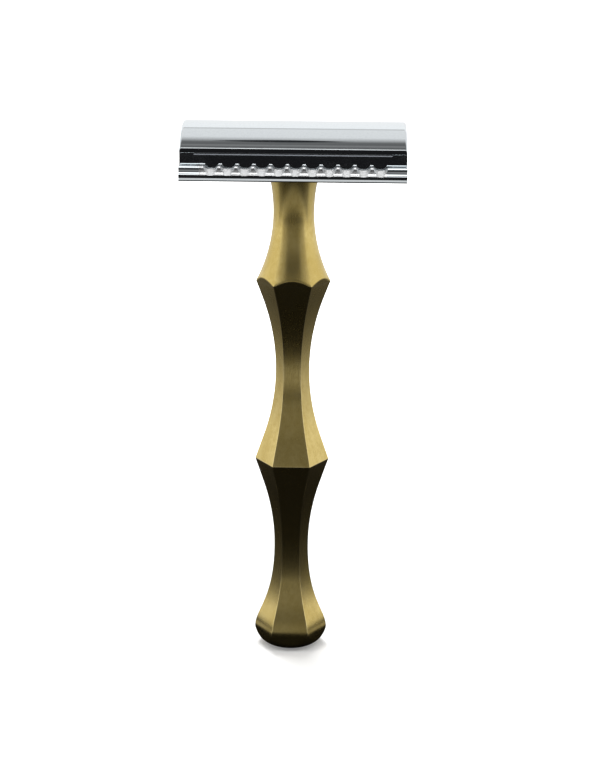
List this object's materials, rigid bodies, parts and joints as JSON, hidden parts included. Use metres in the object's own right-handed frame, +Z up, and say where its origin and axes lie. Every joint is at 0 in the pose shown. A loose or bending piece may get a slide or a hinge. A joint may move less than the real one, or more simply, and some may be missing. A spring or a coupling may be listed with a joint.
{
  "type": "safety razor",
  "caption": "Double-edge safety razor standing on its handle: waisted hexagonal brass handle, chromed clamping head with scalloped guard bars, and a blade inside.",
  "frame": {"origin": "centre of the handle's foot, on the surface that the razor stands on", "axes": "+Z up the handle, X along the head and the blade's cutting edges, Y across the head"},
  "size_m": [0.0432, 0.0246, 0.1075],
  "materials": {
    "handle_brass": "satin brushed, unlacquered",
    "head_chrome": "polished plating",
    "blade_steel": "bright rolled strip with ground edges",
    "stud_steel": "machined, plated"
  },
  "bodies": {
    "handle": {"handle": "handle_brass"},
    "base_plate": {"base_plate": "head_chrome"},
    "blade": {"blade": "blade_steel"},
    "cap": {"top_cap": "head_chrome", "threaded_stud": "stud_steel"}
  },
  "joints": [
    {"name": "head_turn", "type": "hinge", "parent": "handle", "child": "base_plate", "pos_m": [0, 0, 0.099], "axis": [0, 0, 1], "range_deg": [0, 2880]},
    {"name": "cap_lift", "type": "slide", "parent": "base_plate", "child": "cap", "axis": [0, 0, 1], "range_m": [0, 0.00641]},
    {"name": "blade_lift", "type": "slide", "parent": "base_plate", "child": "blade", "axis": [0, 0, 1], "range_m": [0, 0.00321]}
  ],
  "couplings": [
    {"joint": "cap_lift", "follows": "head_turn", "m_per_rad": 0.00012732},
    {"joint": "blade_lift", "follows": "head_turn", "m_per_rad": 0.000063662}
  ]
}
